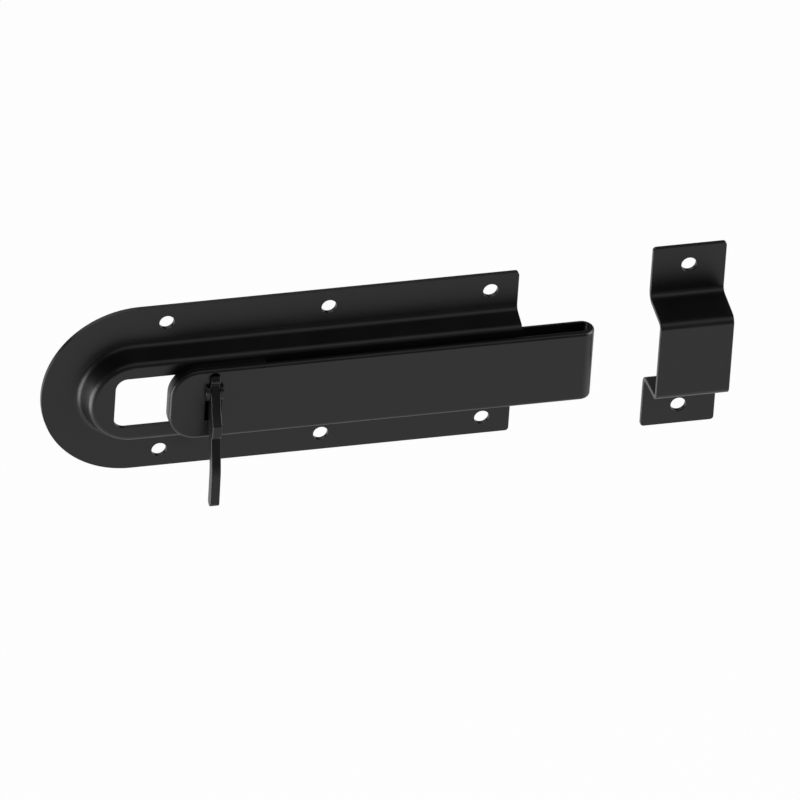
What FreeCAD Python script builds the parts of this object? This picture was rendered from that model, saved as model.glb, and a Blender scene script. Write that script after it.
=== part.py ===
"""Sliding bolt of pressed and folded sheet steel, with its drop lever and its keeper.

X runs along the bolt with the nose towards +X, Z is up, and the fixing surface is the plane Y = 0
with the viewer at -Y. The origin is the middle of the mounting plate's back face, level with the
middle pair of screw holes.
"""
import FreeCAD, Part
import math
import os
import Sketcher

SIZES = [
    # Mounting plate: a flat flange with a pressed channel that is open at the nose end
    ("plate_sheet", 2.0),
    ("plate_height", 81.0),
    ("plate_nose_end", 82.0),
    ("plate_round_centre", 82.0),
    ("plate_corner_radius", 1.5),
    ("blank_margin", 5.0),
    ("channel_round_centre", 84.1),
    ("channel_rise", 10.0),
    ("channel_face_half", 17.3),
    ("channel_face_bend", 0.8),
    ("channel_foot_bend", 3.0),
    ("channel_web_lean", 16.0),
    # Screw holes of the plate: three columns, two rows
    ("screw_hole", 6.5),
    ("screw_pitch", 70.0),
    ("screw_rows", 65.0),
    # Folded bolt strip
    ("strip_sheet", 2.0),
    ("strip_width", 34.5),
    ("strip_nose", 113.0),
    ("front_leg_tail", 71.0),
    ("back_leg_tail", 60.0),
    ("tail_radius", 12.5),
    # Slide block between the two legs, with its tongue in the plate's slot
    ("slide_gap", 0.3),
    ("spacer_thickness", 3.7),
    ("spacer_end", 30.0),
    ("tongue_height", 24.0),
    ("tongue_tail", 66.1),
    ("tongue_nose", 34.5),
    ("tongue_corner", 5.0),
    ("tongue_side_gap", 0.45),
    ("slot_corner", 5.0),
    ("stroke", 26.8),
    # Drop lever on its cross pin, held by two ears beside the front leg's slot
    ("lever_place", 52.2),
    ("lever_thickness", 4.0),
    ("lever_side_gap", 0.3),
    ("pin_diameter", 3.0),
    ("pin_clearance", 0.05),
    ("pin_length", 7.7),
    ("pin_end_radius", 0.5),
    ("pin_end_room", 0.05),
    ("pin_out", 0.6),
    ("pin_drop", 11.05),
    ("ear_thickness", 1.3),
    ("ear_out", 2.8),
    ("ear_height", 7.0),
    ("ear_corner", 2.2),
    ("slot_rise", 9.5),
    ("slot_drop", 14.4),
    ("cut_margin", 1.0),
    # Outline of the lever: distances out from the front leg's face, rises and drops from the pin
    ("crown_rise", 8.0),
    ("brow_out", 2.5),
    ("brow_rise", 6.2),
    ("brow_half", 0.45),
    ("neck_out", 1.3),
    ("neck_rise", 4.2),
    ("cheek_out", 5.0),
    ("cheek_drop", 4.9),
    ("cheek_half", 0.95),
    ("knuckle_out", 9.0),
    ("knuckle_drop", 11.8),
    ("knuckle_height", 5.9),
    ("hub_depth", 4.8),
    ("hub_rise", 4.8),
    ("hub_drop", 5.4),
    ("rest_gap", 0.4),
    ("rest_drop", 12.7),
    ("rest_height", 6.5),
    ("handle_depth", 4.2),
    ("handle_neck_out", 7.4),
    ("handle_bend_drop", 33.6),
    ("handle_end_drop", 51.2),
    ("handle_upper_slope", 0.27),
    ("handle_lower_slope", 0.04),
    ("lever_corner", 1.2),
    ("lever_end_corner", 1.9),
    ("lever_bend_radius", 30.0),
    # Keeper strap that the nose enters
    ("keeper_sheet", 2.0),
    ("keeper_middle", 156.0),
    ("keeper_width", 32.0),
    ("keeper_height", 91.0),
    ("keeper_rise", 19.0),
    ("keeper_face_half", 16.4),
    ("keeper_face_bend", 1.5),
    ("keeper_foot_bend", 3.0),
    ("keeper_web_lean", 5.0),
    ("keeper_screw_rows", 72.0),
    ("keeper_corner_radius", 1.5),
]

# Depths of the stacked pieces, from the fixing surface outwards
CHANNEL_FACE = "(Sizes.channel_rise + Sizes.plate_sheet)"
SPACER_BACK = f"({CHANNEL_FACE} + Sizes.slide_gap)"
FRONT_LEG_BACK = f"({SPACER_BACK} + Sizes.spacer_thickness)"
FRONT_LEG_FACE = f"({FRONT_LEG_BACK} + Sizes.strip_sheet)"
BACK_LEG_FACE = "(Sizes.channel_rise - Sizes.slide_gap)"
PIN_OUT = f"({FRONT_LEG_FACE} + Sizes.pin_out)"
LEVER_SLOT_HALF = "(Sizes.lever_thickness / 2 + Sizes.lever_side_gap)"
EAR_SPAN_HALF = f"({LEVER_SLOT_HALF} + Sizes.ear_thickness)"
PIN_LEVEL = "(Sizes.strip_width / 2 - Sizes.pin_drop)"
SLOT_TOP = f"({PIN_LEVEL} + Sizes.slot_rise)"
SLOT_FOOT = f"({PIN_LEVEL} - Sizes.slot_drop)"
EAR_FOOT = f"({PIN_LEVEL} - Sizes.ear_height / 2)"

document = FreeCAD.newDocument("sliding_bolt")
sheet = document.addObject("Spreadsheet::Sheet", "Sizes")
for row, (alias, value) in enumerate(SIZES, start=1):
    sheet.set(f"A{row}", str(value))
    sheet.setAlias(f"A{row}", alias)
document.recompute()


def measure(expression):
    """The value of an expression in the sheet's names, in millimetres or degrees."""
    return float(sheet.evalExpression(expression.replace("Sizes.", "")))


def new_body(label):
    body = document.addObject("PartDesign::Body", label)
    body.Label = label
    return body


def new_sketch(body, name, plane, offset=None):
    """A sketch on one of the body's own origin planes, moved along the plane's normal."""
    sketch = body.newObject("Sketcher::SketchObject", name)
    planes = [item for item in body.Origin.OriginFeatures if item.Role == plane]
    sketch.AttachmentSupport = [(planes[0], "")]
    sketch.MapMode = "FlatFace"
    if offset:
        sketch.setExpression("AttachmentOffset.Base.z", offset)
    return sketch


def drive(sketch, kind, *terms):
    """Adds a dimension whose last term is an expression, and binds it."""
    expression = terms[-1]
    value = measure(expression)
    if kind == "Angle":
        value = math.radians(value)
        expression = f"({expression}) * 1 deg"
    index = sketch.addConstraint(Sketcher.Constraint(kind, *terms[:-1], value))
    sketch.setExpression(f"Constraints[{index}]", expression)


def place_point(sketch, geometry, position, across, along):
    """Holds a point of the sketch at two coordinates."""
    drive(sketch, "DistanceX", -1, 1, geometry, position, across)
    drive(sketch, "DistanceY", -1, 1, geometry, position, along)


def add_polygon(sketch, points):
    """A closed outline through points given as pairs of expressions."""
    corners = [FreeCAD.Vector(measure(across), measure(along), 0) for across, along in points]
    first = sketch.GeometryCount
    count = len(points)
    for number, corner in enumerate(corners):
        sketch.addGeometry(Part.LineSegment(corner, corners[(number + 1) % count]))
    for number in range(count):
        following = (number + 1) % count
        sketch.addConstraint(Sketcher.Constraint("Coincident", first + number, 2, first + following, 1))
    for number, (across, along) in enumerate(points):
        place_point(sketch, first + number, 1, across, along)


def add_rectangle(sketch, left, right, low, high):
    add_polygon(sketch, [(left, low), (right, low), (right, high), (left, high)])


def add_circle(sketch, across, along, radius):
    centre = FreeCAD.Vector(measure(across), measure(along), 0)
    circle = Part.Circle(centre, FreeCAD.Vector(0, 0, 1), measure(radius))
    index = sketch.addGeometry(circle)
    drive(sketch, "Radius", index, radius)
    place_point(sketch, index, 3, across, along)


def add_feature(body, kind, name, sketch, **settings):
    """Pad, pocket or revolution of a sketch; a setting that is text is an expression."""
    feature = body.newObject(f"PartDesign::{kind}", name)
    feature.Profile = sketch
    for setting, value in settings.items():
        if setting in ("Length", "Angle"):
            feature.setExpression(setting, value)
        else:
            setattr(feature, setting, value)
    return feature


def mirror_about(body, name, feature, plane):
    mirrored = body.newObject("PartDesign::Mirrored", name)
    mirrored.Originals = [feature]
    planes = [item for item in body.Origin.OriginFeatures if item.Role == plane]
    mirrored.MirrorPlane = (planes[0], [""])
    body.Tip = mirrored
    return mirrored


def round_edges(body, name, base, radius, wanted):
    """Fillets every straight edge of the base that the test picks by its middle and direction."""
    document.recompute()
    picked = []
    for number, edge in enumerate(base.Shape.Edges, start=1):
        if edge.Curve.TypeId != "Part::GeomLine":
            continue
        middle = edge.CenterOfMass
        direction = edge.Curve.Direction
        if wanted(middle, direction):
            picked.append(f"Edge{number}")
    fillet = body.newObject("PartDesign::Fillet", name)
    fillet.Base = (base, picked)
    fillet.setExpression("Radius", radius)
    return fillet


def near(first, second):
    return abs(first - second) < 0.05


def add_hat_profile(sketch, rise, thickness, face_half, face_bend, foot_bend, lean, half_height):
    """Upper half of a hat section in Y and Z: flange, bend, web, bend and raised face.

    Both skins of the sheet are concentric at the bends, so the thickness is the same all along.
    """
    turn = math.radians(90 - measure(lean))
    inner, foot = measure(face_bend), measure(foot_bend)
    gauge, lift = measure(thickness), measure(rise)
    outer, foot_outer = inner + gauge, foot + gauge
    slope = (lift - (outer + foot) * (1 - math.cos(turn))) / math.sin(turn)
    face_centre = FreeCAD.Vector(-lift + inner, measure(face_half), 0)
    along_web = FreeCAD.Vector(math.sin(turn), math.cos(turn), 0)
    across_web = FreeCAD.Vector(-math.cos(turn), math.sin(turn), 0)
    foot_centre = face_centre + across_web * (outer + foot) + along_web * slope
    edge = measure(half_height)

    def line(start, end):
        return sketch.addGeometry(Part.LineSegment(start, end))

    def arc(centre, radius, start, end):
        circle = Part.Circle(centre, FreeCAD.Vector(0, 0, 1), radius)
        return sketch.addGeometry(Part.ArcOfCircle(circle, start, end))

    def spot(across, along):
        return FreeCAD.Vector(across, along, 0)

    top, bottom = face_centre.y, foot_centre.y
    front_face = line(spot(-lift - gauge, 0), spot(-lift - gauge, top))
    front_crown = arc(face_centre, outer, math.pi - turn, math.pi)
    front_web = line(face_centre + across_web * outer, foot_centre - across_web * foot)
    front_foot = arc(foot_centre, foot, -turn, 0)
    front_flange = line(spot(-gauge, bottom), spot(-gauge, edge))
    rim = line(spot(-gauge, edge), spot(0, edge))
    back_flange = line(spot(0, edge), spot(0, bottom))
    back_foot = arc(foot_centre, foot_outer, -turn, 0)
    back_web = line(foot_centre - across_web * foot_outer, face_centre + across_web * inner)
    back_crown = arc(face_centre, inner, math.pi - turn, math.pi)
    back_face = line(spot(-lift, top), spot(-lift, 0))
    middle = line(spot(-lift, 0), spot(-lift - gauge, 0))

    tangents = [
        (front_face, 2, front_crown, 2),
        (front_crown, 1, front_web, 1),
        (front_web, 2, front_foot, 1),
        (front_foot, 2, front_flange, 1),
        (back_flange, 2, back_foot, 2),
        (back_foot, 1, back_web, 1),
        (back_web, 2, back_crown, 1),
        (back_crown, 2, back_face, 1),
    ]
    for terms in tangents:
        sketch.addConstraint(Sketcher.Constraint("Tangent", *terms))
    joins = [(front_flange, 2, rim, 1), (rim, 2, back_flange, 1), (back_face, 2, middle, 1),
             (middle, 2, front_face, 1), (front_crown, 3, back_crown, 3), (front_foot, 3, back_foot, 3)]
    for terms in joins:
        sketch.addConstraint(Sketcher.Constraint("Coincident", *terms))
    for index in (front_face, front_flange, back_flange, back_face):
        sketch.addConstraint(Sketcher.Constraint("Vertical", index))
    for index in (rim, middle):
        sketch.addConstraint(Sketcher.Constraint("Horizontal", index))
    sketch.addConstraint(Sketcher.Constraint("PointOnObject", back_flange, 1, -2))
    sketch.addConstraint(Sketcher.Constraint("PointOnObject", middle, 1, -1))
    drive(sketch, "Radius", back_crown, face_bend)
    drive(sketch, "Radius", front_crown, f"{face_bend} + {thickness}")
    drive(sketch, "Radius", front_foot, foot_bend)
    drive(sketch, "Radius", back_foot, f"{foot_bend} + {thickness}")
    drive(sketch, "DistanceX", -1, 1, middle, 1, f"-{rise}")
    drive(sketch, "DistanceY", -1, 1, front_face, 2, face_half)
    drive(sketch, "DistanceY", -1, 1, rim, 1, half_height)
    drive(sketch, "Angle", front_web, lean)


def add_trim_outline(sketch):
    """The waste round the plate: a wide rectangle outside the blank's straight sides and round tail."""
    add_rectangle(sketch, "-(Sizes.channel_round_centre + Sizes.plate_height)",
                  "Sizes.plate_nose_end + 2 * Sizes.blank_margin",
                  "-Sizes.plate_height", "Sizes.plate_height")
    centre_x = -measure("Sizes.plate_round_centre")
    half, end = measure("Sizes.plate_height / 2"), measure("Sizes.plate_nose_end")

    def line(start, end):
        return sketch.addGeometry(Part.LineSegment(FreeCAD.Vector(*start, 0), FreeCAD.Vector(*end, 0)))

    top = line((end, half), (centre_x, half))
    circle = Part.Circle(FreeCAD.Vector(centre_x, 0, 0), FreeCAD.Vector(0, 0, 1), half)
    tail = sketch.addGeometry(Part.ArcOfCircle(circle, math.pi / 2, 3 * math.pi / 2))
    bottom = line((centre_x, -half), (end, -half))
    nose = line((end, -half), (end, half))
    for terms in ((top, 2, tail, 1), (tail, 2, bottom, 1)):
        sketch.addConstraint(Sketcher.Constraint("Tangent", *terms))
    for terms in ((bottom, 2, nose, 1), (nose, 2, top, 1)):
        sketch.addConstraint(Sketcher.Constraint("Coincident", *terms))
    for index in (top, bottom):
        sketch.addConstraint(Sketcher.Constraint("Horizontal", index))
    sketch.addConstraint(Sketcher.Constraint("Vertical", nose))
    sketch.addConstraint(Sketcher.Constraint("PointOnObject", tail, 3, -1))
    drive(sketch, "Radius", tail, "Sizes.plate_height / 2")
    drive(sketch, "DistanceX", -1, 1, tail, 3, "-Sizes.plate_round_centre")
    drive(sketch, "DistanceX", -1, 1, nose, 1, "Sizes.plate_nose_end")


def build_mounting_plate():
    """Flange with a pressed channel: a half section run straight, mirrored, and turned round the tail.

    The rim is trimmed last, because the channel's round end isn't concentric with the blank's.
    """
    body = new_body("mounting_plate")
    profile = new_sketch(body, "channel_section", "YZ_Plane", "-Sizes.channel_round_centre")
    add_hat_profile(profile, "Sizes.channel_rise", "Sizes.plate_sheet", "Sizes.channel_face_half",
                    "Sizes.channel_face_bend", "Sizes.channel_foot_bend", "Sizes.channel_web_lean",
                    "Sizes.plate_height / 2 + Sizes.blank_margin")
    run = add_feature(body, "Pad", "straight_run", profile,
                      Length="Sizes.channel_round_centre + Sizes.plate_nose_end + Sizes.blank_margin")
    mirror_about(body, "lower_half", run, "XY_Plane")
    add_feature(body, "Revolution", "round_tail", profile, ReferenceAxis=(profile, ["H_Axis"]),
                Angle="180 deg", Reversed=True)
    waste = new_sketch(body, "trim_outline", "XZ_Plane")
    add_trim_outline(waste)
    add_feature(body, "Pocket", "trimmed_edge", waste, Type="ThroughAll", Midplane=True)

    slot = new_sketch(body, "guide_slot_outline", "XZ_Plane")
    half = "(Sizes.tongue_height / 2 + Sizes.tongue_side_gap)"
    add_rectangle(slot, "-(Sizes.tongue_tail + Sizes.stroke + Sizes.slide_gap)",
                  "-(Sizes.tongue_nose - Sizes.slide_gap)", f"-{half}", half)
    cut = add_feature(body, "Pocket", "guide_slot", slot, Type="ThroughAll", Midplane=True)
    cut = round_edges(body, "guide_slot_corners", cut, "Sizes.slot_corner",
                      lambda middle, direction: near(abs(direction.y), 1)
                      and near(abs(middle.z), measure(half)))

    holes = new_sketch(body, "screw_hole_centres", "XZ_Plane")
    for column in (-1, 0, 1):
        for level in (-1, 1):
            add_circle(holes, f"{column} * Sizes.screw_pitch", f"{level} * Sizes.screw_rows / 2",
                       "Sizes.screw_hole / 2")
    drilled = add_feature(body, "Pocket", "screw_holes", holes, Type="ThroughAll", Midplane=True)
    round_edges(body, "nose_end_corners", drilled, "Sizes.plate_corner_radius",
                lambda middle, direction: near(abs(direction.y), 1)
                and near(middle.x, measure("Sizes.plate_nose_end"))
                and near(abs(middle.z), measure("Sizes.plate_height / 2")))
    return body


def build_bolt_strip():
    """One strip folded back on itself at the nose; the front leg is slotted for the lever."""
    body = new_body("bolt_strip")
    fold = new_sketch(body, "fold_section", "XY_Plane")
    gap = f"({FRONT_LEG_BACK} - {BACK_LEG_FACE})"
    inner = f"{gap} / 2"
    outer = f"({inner} + Sizes.strip_sheet)"
    bend_x = f"(Sizes.strip_nose - {outer})"
    bend_y = f"-({BACK_LEG_FACE} + {inner})"
    centre = FreeCAD.Vector(measure(bend_x), measure(bend_y), 0)
    front, back = -measure(FRONT_LEG_FACE), -(measure(BACK_LEG_FACE) - measure("Sizes.strip_sheet"))
    front_inner, back_inner = -measure(FRONT_LEG_BACK), -measure(BACK_LEG_FACE)
    front_end, back_end = -measure("Sizes.front_leg_tail"), -measure("Sizes.back_leg_tail")

    def line(start, end):
        return fold.addGeometry(Part.LineSegment(FreeCAD.Vector(*start, 0), FreeCAD.Vector(*end, 0)))

    def bend(radius):
        circle = Part.Circle(centre, FreeCAD.Vector(0, 0, 1), radius)
        return fold.addGeometry(Part.ArcOfCircle(circle, -math.pi / 2, math.pi / 2))

    front_skin = line((front_end, front), (centre.x, front))
    outer_bend = bend(measure(outer))
    back_skin = line((centre.x, back), (back_end, back))
    back_tail = line((back_end, back), (back_end, back_inner))
    back_inside = line((back_end, back_inner), (centre.x, back_inner))
    inner_bend = bend(measure(inner))
    front_inside = line((centre.x, front_inner), (front_end, front_inner))
    front_tail = line((front_end, front_inner), (front_end, front))
    for terms in ((front_skin, 2, outer_bend, 1), (outer_bend, 2, back_skin, 1),
                  (back_inside, 2, inner_bend, 2), (inner_bend, 1, front_inside, 1)):
        fold.addConstraint(Sketcher.Constraint("Tangent", *terms))
    for terms in ((back_skin, 2, back_tail, 1), (back_tail, 2, back_inside, 1),
                  (front_inside, 2, front_tail, 1), (front_tail, 2, front_skin, 1),
                  (outer_bend, 3, inner_bend, 3)):
        fold.addConstraint(Sketcher.Constraint("Coincident", *terms))
    for index in (front_skin, back_skin, back_inside, front_inside):
        fold.addConstraint(Sketcher.Constraint("Horizontal", index))
    for index in (back_tail, front_tail):
        fold.addConstraint(Sketcher.Constraint("Vertical", index))
    drive(fold, "Radius", inner_bend, inner)
    drive(fold, "Radius", outer_bend, outer)
    place_point(fold, inner_bend, 3, bend_x, bend_y)
    drive(fold, "DistanceX", -1, 1, front_skin, 1, "-Sizes.front_leg_tail")
    drive(fold, "DistanceX", -1, 1, back_tail, 1, "-Sizes.back_leg_tail")
    strip = add_feature(body, "Pad", "folded_strip", fold, Length="Sizes.strip_width", Midplane=True)
    rounded = round_edges(body, "tail_corners", strip, "Sizes.tail_radius",
                          lambda middle, direction: near(abs(direction.y), 1))

    ear = new_sketch(body, "ear_outline", "YZ_Plane", "-Sizes.lever_place")
    add_rectangle(ear, f"-({FRONT_LEG_FACE} + Sizes.ear_out)",
                  f"-({FRONT_LEG_BACK} + Sizes.strip_sheet / 2)",
                  EAR_FOOT, f"{EAR_FOOT} + Sizes.ear_height")
    ears = add_feature(body, "Pad", "ears", ear, Length=f"2 * {EAR_SPAN_HALF}", Midplane=True)
    ear_front = -measure(f"{FRONT_LEG_FACE} + Sizes.ear_out")
    round_edges(body, "ear_corners", ears, "Sizes.ear_corner",
                lambda middle, direction: near(abs(direction.x), 1) and near(middle.y, ear_front))

    slot = new_sketch(body, "lever_slot_outline", "XZ_Plane", FRONT_LEG_BACK)
    add_slot_outline(slot)
    add_feature(body, "Pocket", "lever_slot", slot,
                Length="Sizes.strip_sheet + Sizes.ear_out + Sizes.cut_margin", Reversed=True)
    wide = new_sketch(body, "blank_of_the_ears", "XZ_Plane", FRONT_LEG_BACK)
    add_rectangle(wide, f"-(Sizes.lever_place + {EAR_SPAN_HALF})",
                  f"-(Sizes.lever_place - {EAR_SPAN_HALF})", SLOT_FOOT, EAR_FOOT)
    add_feature(body, "Pocket", "ear_blanks", wide, Length="Sizes.strip_sheet", Reversed=True)

    bore = new_sketch(body, "pin_bore_centre", "YZ_Plane", "-Sizes.lever_place")
    add_circle(bore, f"-{PIN_OUT}", PIN_LEVEL, "Sizes.pin_diameter / 2")
    add_feature(body, "Pocket", "pin_bore", bore, Midplane=True,
                Length="Sizes.pin_length + 2 * Sizes.pin_end_room")
    return body


def add_slot_outline(sketch):
    """Upright slot for the lever, square at the foot and with a round top."""
    middle = "-Sizes.lever_place"
    radius = LEVER_SLOT_HALF
    high = f"({SLOT_TOP} - {radius})"
    x, half = measure(middle), measure(radius)
    upper, lower = measure(high), measure(SLOT_FOOT)

    def line(start, end):
        return sketch.addGeometry(Part.LineSegment(FreeCAD.Vector(*start, 0), FreeCAD.Vector(*end, 0)))

    right = line((x + half, lower), (x + half, upper))
    circle = Part.Circle(FreeCAD.Vector(x, upper, 0), FreeCAD.Vector(0, 0, 1), half)
    crown = sketch.addGeometry(Part.ArcOfCircle(circle, 0, math.pi))
    left = line((x - half, upper), (x - half, lower))
    foot = line((x - half, lower), (x + half, lower))
    for terms in ((right, 2, crown, 1), (crown, 2, left, 1)):
        sketch.addConstraint(Sketcher.Constraint("Tangent", *terms))
    for terms in ((left, 2, foot, 1), (foot, 2, right, 1)):
        sketch.addConstraint(Sketcher.Constraint("Coincident", *terms))
    sketch.addConstraint(Sketcher.Constraint("Vertical", right))
    sketch.addConstraint(Sketcher.Constraint("Horizontal", foot))
    drive(sketch, "Radius", crown, radius)
    place_point(sketch, crown, 3, middle, high)
    drive(sketch, "DistanceY", -1, 1, foot, 1, SLOT_FOOT)


def build_slide_block():
    """Spacer behind the front leg, with a tongue that runs in the plate's slot."""
    body = new_body("slide_block")
    outline = new_sketch(body, "spacer_outline", "XZ_Plane", SPACER_BACK)
    half = "Sizes.strip_width / 2"
    add_rectangle(outline, "-Sizes.front_leg_tail", "-Sizes.spacer_end", f"-{half}", half)
    spacer = add_feature(body, "Pad", "spacer", outline, Length="Sizes.spacer_thickness")
    spacer = round_edges(body, "spacer_tail_corners", spacer, "Sizes.tail_radius",
                         lambda middle, direction: near(abs(direction.y), 1)
                         and near(middle.x, -measure("Sizes.front_leg_tail")))

    step = new_sketch(body, "tongue_outline", "XZ_Plane", BACK_LEG_FACE)
    reach = "Sizes.tongue_height / 2"
    add_rectangle(step, "-Sizes.tongue_tail", "-Sizes.tongue_nose", f"-{reach}", reach)
    tongue = add_feature(body, "Pad", "tongue", step, Length=f"{SPACER_BACK} - {BACK_LEG_FACE}")
    tongue = round_edges(body, "tongue_corners", tongue, "Sizes.tongue_corner",
                         lambda middle, direction: near(abs(direction.y), 1)
                         and near(abs(middle.z), measure(reach)))

    window = new_sketch(body, "lever_window_outline", "XZ_Plane", BACK_LEG_FACE)
    add_rectangle(window, f"-(Sizes.lever_place + {EAR_SPAN_HALF})",
                  f"-(Sizes.lever_place - {EAR_SPAN_HALF})", SLOT_FOOT, SLOT_TOP)
    add_feature(body, "Pocket", "lever_window", window, Type="ThroughAll", Midplane=True)
    return body


def build_lever_pin():
    """Cross pin with rounded ends, held in the ears on both sides of the lever."""
    body = new_body("lever_pin")
    section = new_sketch(body, "pin_section", "YZ_Plane", "-Sizes.lever_place")
    add_circle(section, f"-{PIN_OUT}", PIN_LEVEL, "Sizes.pin_diameter / 2")
    pin = add_feature(body, "Pad", "pin", section, Length="Sizes.pin_length", Midplane=True)
    document.recompute()
    ends = body.newObject("PartDesign::Fillet", "rounded_ends")
    ends.Base = (pin, [f"Edge{number}" for number, edge in enumerate(pin.Shape.Edges, start=1)
                       if edge.Closed])
    ends.setExpression("Radius", "Sizes.pin_end_radius")
    return body


def build_drop_lever():
    """Flat lever cut to profile: hub in the slot, stepped front, knuckle and hanging handle."""
    body = new_body("drop_lever")
    blank = new_sketch(body, "lever_outline", "YZ_Plane", "-Sizes.lever_place")

    def out(distance):
        return f"-({FRONT_LEG_FACE} + {distance})"

    def rise(distance):
        return f"({PIN_LEVEL} + {distance})"

    def drop(distance):
        return f"({PIN_LEVEL} - {distance})"

    knuckle_foot = "(Sizes.knuckle_drop + Sizes.knuckle_height)"
    rest_foot = "(Sizes.rest_drop + Sizes.rest_height)"
    hub_back = f"-({PIN_OUT} - Sizes.hub_depth)"
    neck_drop = f"({knuckle_foot} + Sizes.lever_corner)"
    upper_run = f"Sizes.handle_upper_slope * (Sizes.handle_bend_drop - {neck_drop})"
    bend_out = f"(Sizes.handle_neck_out + {upper_run})"
    lower_run = "Sizes.handle_lower_slope * (Sizes.handle_end_drop - Sizes.handle_bend_drop)"
    end_out = f"({bend_out} + {lower_run})"
    add_polygon(blank, [
        (out("Sizes.rest_gap / 2"), rise("Sizes.crown_rise")),
        (out("Sizes.brow_out"), rise("Sizes.brow_rise + Sizes.brow_half")),
        (out("Sizes.brow_out"), rise("Sizes.brow_rise - Sizes.brow_half")),
        (out("Sizes.neck_out"), rise("Sizes.neck_rise")),
        (out("Sizes.cheek_out"), drop("Sizes.cheek_drop + Sizes.cheek_half")),
        (out("Sizes.cheek_out"), drop("Sizes.cheek_drop - Sizes.cheek_half")),
        (out("Sizes.knuckle_out"), drop("Sizes.knuckle_drop")),
        (out("Sizes.knuckle_out"), drop(knuckle_foot)),
        (out("Sizes.handle_neck_out"), drop(neck_drop)),
        (out(bend_out), drop("Sizes.handle_bend_drop")),
        (out(end_out), drop("Sizes.handle_end_drop")),
        (out(f"({end_out} - Sizes.handle_depth)"), drop("Sizes.handle_end_drop")),
        (out(f"({bend_out} - Sizes.handle_depth)"), drop("Sizes.handle_bend_drop")),
        (out("(Sizes.handle_neck_out - Sizes.handle_depth)"), drop(rest_foot)),
        (out("Sizes.rest_gap"), drop(rest_foot)),
        (out("Sizes.rest_gap"), drop("Sizes.rest_drop")),
        (f"({hub_back} - Sizes.brow_half)", drop("(Sizes.hub_drop + Sizes.lever_corner)")),
        (hub_back, drop("Sizes.hub_drop")),
        (hub_back, rise("Sizes.hub_rise")),
        (f"({hub_back} - Sizes.brow_out)", rise("(Sizes.crown_rise - Sizes.brow_half)")),
    ])
    plate = add_feature(body, "Pad", "lever_blank", blank, Length="Sizes.lever_thickness", Midplane=True)

    def at_drops(*distances):
        levels = [measure(drop(distance)) for distance in distances]
        return lambda middle, direction: (near(abs(direction.x), 1)
                                          and any(near(middle.z, level) for level in levels))

    plate = round_edges(body, "handle_end", plate, "Sizes.lever_end_corner",
                        at_drops("Sizes.handle_end_drop"))
    plate = round_edges(body, "handle_bend", plate, "Sizes.lever_bend_radius",
                        at_drops("Sizes.handle_bend_drop"))
    plate = round_edges(body, "knuckle_corners", plate, "Sizes.lever_corner",
                        at_drops("Sizes.knuckle_drop", knuckle_foot))

    bore = new_sketch(body, "eye_bore_centre", "YZ_Plane", "-Sizes.lever_place")
    add_circle(bore, f"-{PIN_OUT}", PIN_LEVEL, "Sizes.pin_diameter / 2 + Sizes.pin_clearance")
    add_feature(body, "Pocket", "eye_bore", bore, Type="ThroughAll", Midplane=True)
    return body


def build_keeper():
    """Hat-section strap with one screw hole in each flange."""
    body = new_body("keeper")
    profile = new_sketch(body, "strap_section", "YZ_Plane", "Sizes.keeper_middle - Sizes.keeper_width / 2")
    add_hat_profile(profile, "Sizes.keeper_rise", "Sizes.keeper_sheet", "Sizes.keeper_face_half",
                    "Sizes.keeper_face_bend", "Sizes.keeper_foot_bend", "Sizes.keeper_web_lean",
                    "Sizes.keeper_height / 2")
    upper = add_feature(body, "Pad", "upper_half", profile, Length="Sizes.keeper_width")
    mirror_about(body, "lower_half", upper, "XY_Plane")
    holes = new_sketch(body, "screw_hole_centres", "XZ_Plane")
    for level in (-1, 1):
        add_circle(holes, "Sizes.keeper_middle", f"{level} * Sizes.keeper_screw_rows / 2",
                   "Sizes.screw_hole / 2")
    drilled = add_feature(body, "Pocket", "screw_holes", holes, Type="ThroughAll", Midplane=True)
    round_edges(body, "flange_corners", drilled, "Sizes.keeper_corner_radius",
                lambda middle, direction: near(abs(direction.y), 1)
                and near(abs(middle.z), measure("Sizes.keeper_height / 2")))
    return body


def check_document():
    """Stops if any object of the document failed."""
    for item in document.Objects:
        if "Invalid" in item.State or "Error" in item.State:
            raise RuntimeError(f"{item.Label} failed: {item.State}")


def export(bodies):
    """Writes each sub-part to a file named after it."""
    os.makedirs("parts", exist_ok=True)
    for body in bodies:
        shape = body.Shape
        if shape.isNull() or not shape.isValid():
            raise RuntimeError(f"{body.Label} has no valid shape")
        shape.exportStep(os.path.join("parts", f"{body.Label}.step"))
        box = shape.BoundBox
        print(f"{body.Label}: {len(shape.Solids)} solid, {shape.Volume:.1f} mm3, "
              f"X {box.XMin:.2f} to {box.XMax:.2f}, Y {box.YMin:.2f} to {box.YMax:.2f}, "
              f"Z {box.ZMin:.2f} to {box.ZMax:.2f}")


sub_parts = [
    build_mounting_plate(),
    build_bolt_strip(),
    build_slide_block(),
    build_lever_pin(),
    build_drop_lever(),
    build_keeper(),
]
document.recompute()
check_document()
export(sub_parts)
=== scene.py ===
import math

import bpy
from mathutils import Matrix, Vector


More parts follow.
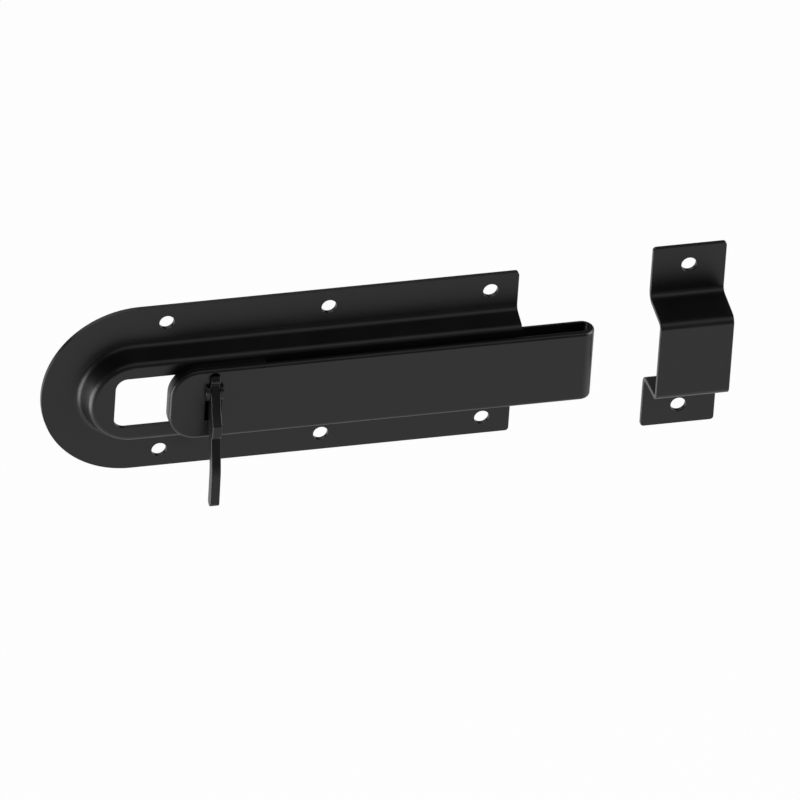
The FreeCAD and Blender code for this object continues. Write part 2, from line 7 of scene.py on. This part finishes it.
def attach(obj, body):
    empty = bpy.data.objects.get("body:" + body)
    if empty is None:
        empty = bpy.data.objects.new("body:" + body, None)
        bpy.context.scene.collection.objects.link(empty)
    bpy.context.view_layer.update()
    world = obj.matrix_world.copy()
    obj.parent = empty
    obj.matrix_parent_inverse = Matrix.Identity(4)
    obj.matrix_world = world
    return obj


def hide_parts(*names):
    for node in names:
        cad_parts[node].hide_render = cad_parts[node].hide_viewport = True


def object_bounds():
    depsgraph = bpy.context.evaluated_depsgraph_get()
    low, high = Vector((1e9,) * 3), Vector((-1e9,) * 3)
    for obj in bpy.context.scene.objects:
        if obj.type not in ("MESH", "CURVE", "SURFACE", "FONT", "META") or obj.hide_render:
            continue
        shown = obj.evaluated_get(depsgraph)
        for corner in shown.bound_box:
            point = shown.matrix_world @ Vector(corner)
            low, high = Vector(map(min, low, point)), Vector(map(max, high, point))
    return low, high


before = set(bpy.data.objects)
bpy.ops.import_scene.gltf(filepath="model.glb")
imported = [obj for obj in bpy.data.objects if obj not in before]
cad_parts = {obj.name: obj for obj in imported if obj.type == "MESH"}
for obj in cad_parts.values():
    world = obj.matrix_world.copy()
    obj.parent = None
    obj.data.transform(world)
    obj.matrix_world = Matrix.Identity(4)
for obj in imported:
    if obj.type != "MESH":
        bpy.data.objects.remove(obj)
cad_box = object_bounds()


# Mounting plate
# One sheet of 2 mm steel, blanked with a round tail, screw holes and a slot, and pressed so that a
# channel stands up from the flange. It is powder-coated satin black, which rounds its cut edges.
plate_cut_edge_radius = 0.00035
cut_edge_facets = 3
cut_edge_angle = math.radians(40)
bend_angle = math.radians(32)
flat_angle = math.radians(0.2)
weld_distance = 0.000002
coat_tint = (0.0016, 0.0016, 0.0018)
coat_tint_pale = (0.0030, 0.0030, 0.0033)
coat_tint_per_metre = 60
coat_tint_detail = 4
coat_tint_starts = 0.35
coat_tint_ends = 0.65
coat_refraction = 1.46
coat_roughness = 0.36
coat_roughness_spread = 0.03
coat_peel_per_metre = 900
coat_peel_detail = 2
coat_peel_height = 0.000012
coat_peel_strength = 0.6


def select_only(piece):
    bpy.ops.object.select_all(action="DESELECT")
    piece.select_set(True)
    bpy.context.view_layer.objects.active = piece


def welded_copy(node, name):
    """A copy of a CAD node with its surface merged into one skin. It drops the node's own tags."""
    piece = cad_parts[node].copy()
    piece.data = piece.data.copy()
    piece.parent = None
    piece.name = name
    piece.data.name = name
    for key in list(piece.keys()):
        del piece[key]
    bpy.context.scene.collection.objects.link(piece)
    select_only(piece)
    bpy.ops.object.mode_set(mode="EDIT")
    bpy.ops.mesh.select_all(action="SELECT")
    bpy.ops.mesh.remove_doubles(threshold=weld_distance)
    bpy.ops.mesh.dissolve_limited(angle_limit=flat_angle)
    bpy.ops.object.mode_set(mode="OBJECT")
    bpy.ops.object.shade_smooth_by_angle(angle=bend_angle)
    return piece


def round_edges(piece, radius, limit="ANGLE", facets=cut_edge_facets):
    """Rounds the cut edges of a piece: all sharp ones, or with limit WEIGHT the marked ones."""
    select_only(piece)
    rounding = piece.modifiers.new("cut_edges", "BEVEL")
    rounding.width = radius
    rounding.segments = facets
    rounding.limit_method = limit
    rounding.angle_limit = cut_edge_angle
    rounding.use_clamp_overlap = True
    bpy.ops.object.modifier_apply(modifier=rounding.name)


def satin_black_coat(name):
    """Satin powder coat: a near-black film with a very fine peel."""
    material = bpy.data.materials.new(name)
    material.use_nodes = True
    nodes = material.node_tree.nodes
    links = material.node_tree.links
    shader = nodes["Principled BSDF"]
    shader.inputs["IOR"].default_value = coat_refraction
    place = nodes.new("ShaderNodeTexCoord")

    tone = nodes.new("ShaderNodeTexNoise")
    tone.inputs["Scale"].default_value = coat_tint_per_metre
    tone.inputs["Detail"].default_value = coat_tint_detail
    links.new(place.outputs["Object"], tone.inputs["Vector"])
    tint = nodes.new("ShaderNodeValToRGB")
    tint.color_ramp.elements[0].position = coat_tint_starts
    tint.color_ramp.elements[0].color = (*coat_tint, 1)
    tint.color_ramp.elements[1].position = coat_tint_ends
    tint.color_ramp.elements[1].color = (*coat_tint_pale, 1)
    links.new(tone.outputs["Fac"], tint.inputs["Fac"])
    links.new(tint.outputs["Color"], shader.inputs["Base Color"])

    sheen = nodes.new("ShaderNodeMapRange")
    sheen.inputs["To Min"].default_value = coat_roughness - coat_roughness_spread
    sheen.inputs["To Max"].default_value = coat_roughness + coat_roughness_spread
    links.new(tone.outputs["Fac"], sheen.inputs["Value"])
    links.new(sheen.outputs["Result"], shader.inputs["Roughness"])

    peel = nodes.new("ShaderNodeTexNoise")
    peel.inputs["Scale"].default_value = coat_peel_per_metre
    peel.inputs["Detail"].default_value = coat_peel_detail
    links.new(place.outputs["Object"], peel.inputs["Vector"])
    relief = nodes.new("ShaderNodeBump")
    relief.inputs["Strength"].default_value = coat_peel_strength
    relief.inputs["Distance"].default_value = coat_peel_height
    links.new(peel.outputs["Fac"], relief.inputs["Height"])
    links.new(relief.outputs["Normal"], shader.inputs["Normal"])
    return material


def dress(piece, node, body, material):
    """Gives a piece its coat and sets it in the frame in place of its CAD node."""
    select_only(piece)
    shading = piece.modifiers.new("flat_faces", "WEIGHTED_NORMAL")
    shading.keep_sharp = True
    bpy.ops.object.modifier_apply(modifier=shading.name)
    piece.data.materials.clear()
    piece.data.materials.append(material)
    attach(piece, body)
    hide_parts(node)


plate_coat = satin_black_coat("plate_powder_coat")
plate = welded_copy("mounting_plate", "pressed_plate")
round_edges(plate, plate_cut_edge_radius)
dress(plate, "mounting_plate", "fixed", plate_coat)


# Keeper
# A strap of the same sheet, bent four times to a hat section, with one screw hole in each flange.
# It is coated in the same batch as the plate.
keeper_cut_edge_radius = 0.00035
keeper = welded_copy("keeper", "keeper_strap")
round_edges(keeper, keeper_cut_edge_radius)
dress(keeper, "keeper", "fixed", plate_coat)


# Bolt strip
# One flat steel strip, folded back on itself at the nose, with round tails and rolled outer edges.
# Two ears are lanced from the front leg and bent out beside the lever's slot.
strip_cut_edge_radius = 0.0003
strip_rolled_edge_radius = 0.0015
strip_rolled_edge_facets = 5
strip_bend_centre = Vector((0.10785, -0.01285))
strip_middle_radius = 0.0045
strip_long_edge_height = 0.0172
strip_left_of_slot = -0.057
bolt_coat = satin_black_coat("bolt_powder_coat")
strip = welded_copy("bolt_strip", "folded_bolt_strip")
bpy.ops.object.mode_set(mode="EDIT")
bpy.ops.mesh.select_mode(type="EDGE")
bpy.ops.mesh.select_all(action="DESELECT")
bpy.ops.mesh.edges_select_sharp(sharpness=cut_edge_angle)
bpy.ops.object.mode_set(mode="OBJECT")
roundness = strip.data.attributes.new("bevel_weight_edge", "FLOAT", "EDGE")


def on_rolled_edge(point):
    """Whether a corner of the strip is on its outer side and away from the lever's slot."""
    past_bend = max(point.x - strip_bend_centre.x, 0)
    outside = math.hypot(past_bend, point.y - strip_bend_centre.y) > strip_middle_radius
    on_long_edge = abs(point.z) > strip_long_edge_height
    on_back_leg = point.y > strip_bend_centre.y
    return outside and (on_long_edge or on_back_leg or point.x < strip_left_of_slot)


for edge in strip.data.edges:
    ends = [strip.data.vertices[end].co for end in edge.vertices]
    roundness.data[edge.index].value = float(edge.select and all(map(on_rolled_edge, ends)))
round_edges(strip, strip_rolled_edge_radius, "WEIGHT", strip_rolled_edge_facets)
round_edges(strip, strip_cut_edge_radius)
dress(strip, "bolt_strip", "bolt", bolt_coat)


# Slide block
# A steel block welded between the legs of the strip. Its tongue runs in the plate's slot.
# It is coated together with the strip.
block_edge_radius = 0.0003
block = welded_copy("slide_block", "welded_slide_block")
round_edges(block, block_edge_radius)
dress(block, "slide_block", "bolt", bolt_coat)


# Lever pin
# A short length of drawn rod, peened over at both ears of the front leg so that it can't come
# out. The coat runs over its ends.
pin_edge_radius = 0.0001
pin = welded_copy("lever_pin", "peened_lever_pin")
round_edges(pin, pin_edge_radius)
dress(pin, "lever_pin", "bolt", bolt_coat)


# Drop lever
# A flat lever cut from 4 mm plate, standing edge-on in the slot. Its front edge is stepped, and the
# handle below the knuckle leans away from the bolt so that a finger gets behind it.
lever_edge_radius = 0.0007
lever_coat = satin_black_coat("lever_powder_coat")
lever = welded_copy("drop_lever", "cut_drop_lever")
round_edges(lever, lever_edge_radius)
dress(lever, "drop_lever", "lever", lever_coat)


# Floor
# A plain sheet of white studio paper, well below the bolt, which is held up by its screws. To the
# camera and in reflections it is white, and it keeps the bolt's shadow.
floor_drop = 1.2
floor_front = -3.3
floor_back = 16.0
floor_half_width = 12.0
paper_tone = 0.82
paper_roughness = 0.9
paper_glow = 1.0
paper_white_share = 0.97
floor_level = cad_box[0][2] - floor_drop
bpy.ops.object.select_all(action="DESELECT")
bpy.ops.mesh.primitive_plane_add(size=1, location=(0, (floor_front + floor_back) / 2, floor_level))
floor = bpy.context.object
floor.name = "studio_floor"
floor.scale = (2 * floor_half_width, floor_back - floor_front, 1)
bpy.ops.object.transform_apply(location=True, rotation=False, scale=True)
floor_paint = bpy.data.materials.new("studio_floor_white")
floor_paint.use_nodes = True
floor_nodes = floor_paint.node_tree.nodes
floor_links = floor_paint.node_tree.links
floor_diffuse = floor_nodes["Principled BSDF"]
floor_diffuse.inputs["Base Color"].default_value = (paper_tone, paper_tone, paper_tone, 1)
floor_diffuse.inputs["Roughness"].default_value = paper_roughness
floor_diffuse.inputs["Specular IOR Level"].default_value = 0.0
floor_white = floor_nodes.new("ShaderNodeEmission")
floor_white.inputs["Color"].default_value = (1, 1, 1, 1)
floor_white.inputs["Strength"].default_value = paper_glow
floor_ray = floor_nodes.new("ShaderNodeLightPath")
floor_seen = floor_nodes.new("ShaderNodeMath")
floor_seen.operation = "MAXIMUM"
floor_links.new(floor_ray.outputs["Is Camera Ray"], floor_seen.inputs[0])
floor_shine = floor_nodes.new("ShaderNodeMath")
floor_shine.operation = "MULTIPLY"
floor_shine.inputs[1].default_value = paper_tone
floor_links.new(floor_ray.outputs["Is Glossy Ray"], floor_shine.inputs[0])
floor_links.new(floor_shine.outputs["Value"], floor_seen.inputs[1])
floor_share = floor_nodes.new("ShaderNodeMath")
floor_share.operation = "MINIMUM"
floor_share.inputs[1].default_value = paper_white_share
floor_links.new(floor_seen.outputs["Value"], floor_share.inputs[0])
floor_mix = floor_nodes.new("ShaderNodeMixShader")
floor_links.new(floor_share.outputs["Value"], floor_mix.inputs["Fac"])
floor_links.new(floor_diffuse.outputs["BSDF"], floor_mix.inputs[1])
floor_links.new(floor_white.outputs["Emission"], floor_mix.inputs[2])
floor_links.new(floor_mix.outputs["Shader"], floor_nodes["Material Output"].inputs["Surface"])
floor.data.materials.append(floor_paint)


# Light
# Four soft boxes, with weak ones in front and behind. The room is dark, for the bolt's upward faces
# to reflect, and only the camera sees it white.
aim = Vector((0.0343, 0, -0.0208))
room_glow = 0.03
room_shine = 0.02
backdrop_tone = 0.975
# Each box: name, azimuth and elevation in degrees, distance, width and height, power in watts.
soft_boxes = [
    ("front_soft_box", 5, 54, 2.4, 2.6, 1.7, 7.5),
    ("left_soft_box", -84, -30, 1.9, 1.9, 2.3, 72),
    ("right_soft_box", 74, 14, 3.2, 3.2, 2.6, 160),
    ("back_soft_box", -165, 28, 2.6, 2.4, 1.4, 12),
]
for name, azimuth, elevation, distance, width, height, power in soft_boxes:
    across, lift = math.radians(azimuth), math.radians(elevation)
    direction = Vector((math.sin(across) * math.cos(lift),
                        -math.cos(across) * math.cos(lift),
                        math.sin(lift)))
    box_light = bpy.data.lights.new(name, "AREA")
    box_light.shape = "RECTANGLE"
    box_light.size = width
    box_light.size_y = height
    box_light.energy = power
    box = bpy.data.objects.new(name, box_light)
    box.location = aim + direction * distance
    box.rotation_euler = direction.to_track_quat("Z", "Y").to_euler()
    bpy.context.scene.collection.objects.link(box)

world = bpy.data.worlds.new("dark_room")
world.use_nodes = True
world_nodes = world.node_tree.nodes
world_links = world.node_tree.links
world_ray = world_nodes.new("ShaderNodeLightPath")
world_shine = world_nodes.new("ShaderNodeMath")
world_shine.operation = "MULTIPLY_ADD"
world_shine.inputs[1].default_value = room_shine
world_shine.inputs[2].default_value = room_glow
world_links.new(world_ray.outputs["Is Glossy Ray"], world_shine.inputs[0])
world_seen = world_nodes.new("ShaderNodeMath")
world_seen.operation = "MAXIMUM"
world_links.new(world_ray.outputs["Is Camera Ray"], world_seen.inputs[0])
world_links.new(world_shine.outputs["Value"], world_seen.inputs[1])
world_backdrop = world_nodes["Background"]
world_links.new(world_seen.outputs["Value"], world_backdrop.inputs["Strength"])
world_backdrop.inputs["Color"].default_value = (backdrop_tone, backdrop_tone, backdrop_tone, 1)
bpy.context.scene.world = world


# Camera
# It looks at the bolt from the left and from above, far off, as in the photograph, and leans a
# little.
camera_azimuth = math.radians(-16.6)
camera_elevation = math.radians(35.0)
camera_roll = 0.07
camera_distance = 10.0
pixels_per_metre = 2379
picture_pixels = 800
sensor_width = 36.0
camera_reach = 100
backward = Vector((math.sin(camera_azimuth) * math.cos(camera_elevation),
                   -math.cos(camera_azimuth) * math.cos(camera_elevation),
                   math.sin(camera_elevation)))
level_right = Vector((0, 0, 1)).cross(backward).normalized()
level_up = backward.cross(level_right)
right = math.cos(camera_roll) * level_right + math.sin(camera_roll) * level_up
up = math.cos(camera_roll) * level_up - math.sin(camera_roll) * level_right
lens = bpy.data.cameras.new("picture_camera")
lens.sensor_width = sensor_width
lens.lens = pixels_per_metre * camera_distance * sensor_width / picture_pixels
lens.clip_end = camera_reach
camera = bpy.data.objects.new("picture_camera", lens)
camera.matrix_world = Matrix.Translation(aim + backward * camera_distance) @ Matrix(
    (right, up, backward)).transposed().to_4x4()
bpy.context.scene.collection.objects.link(camera)
bpy.context.scene.camera = camera

bpy.context.scene.view_settings.view_transform = "Standard"
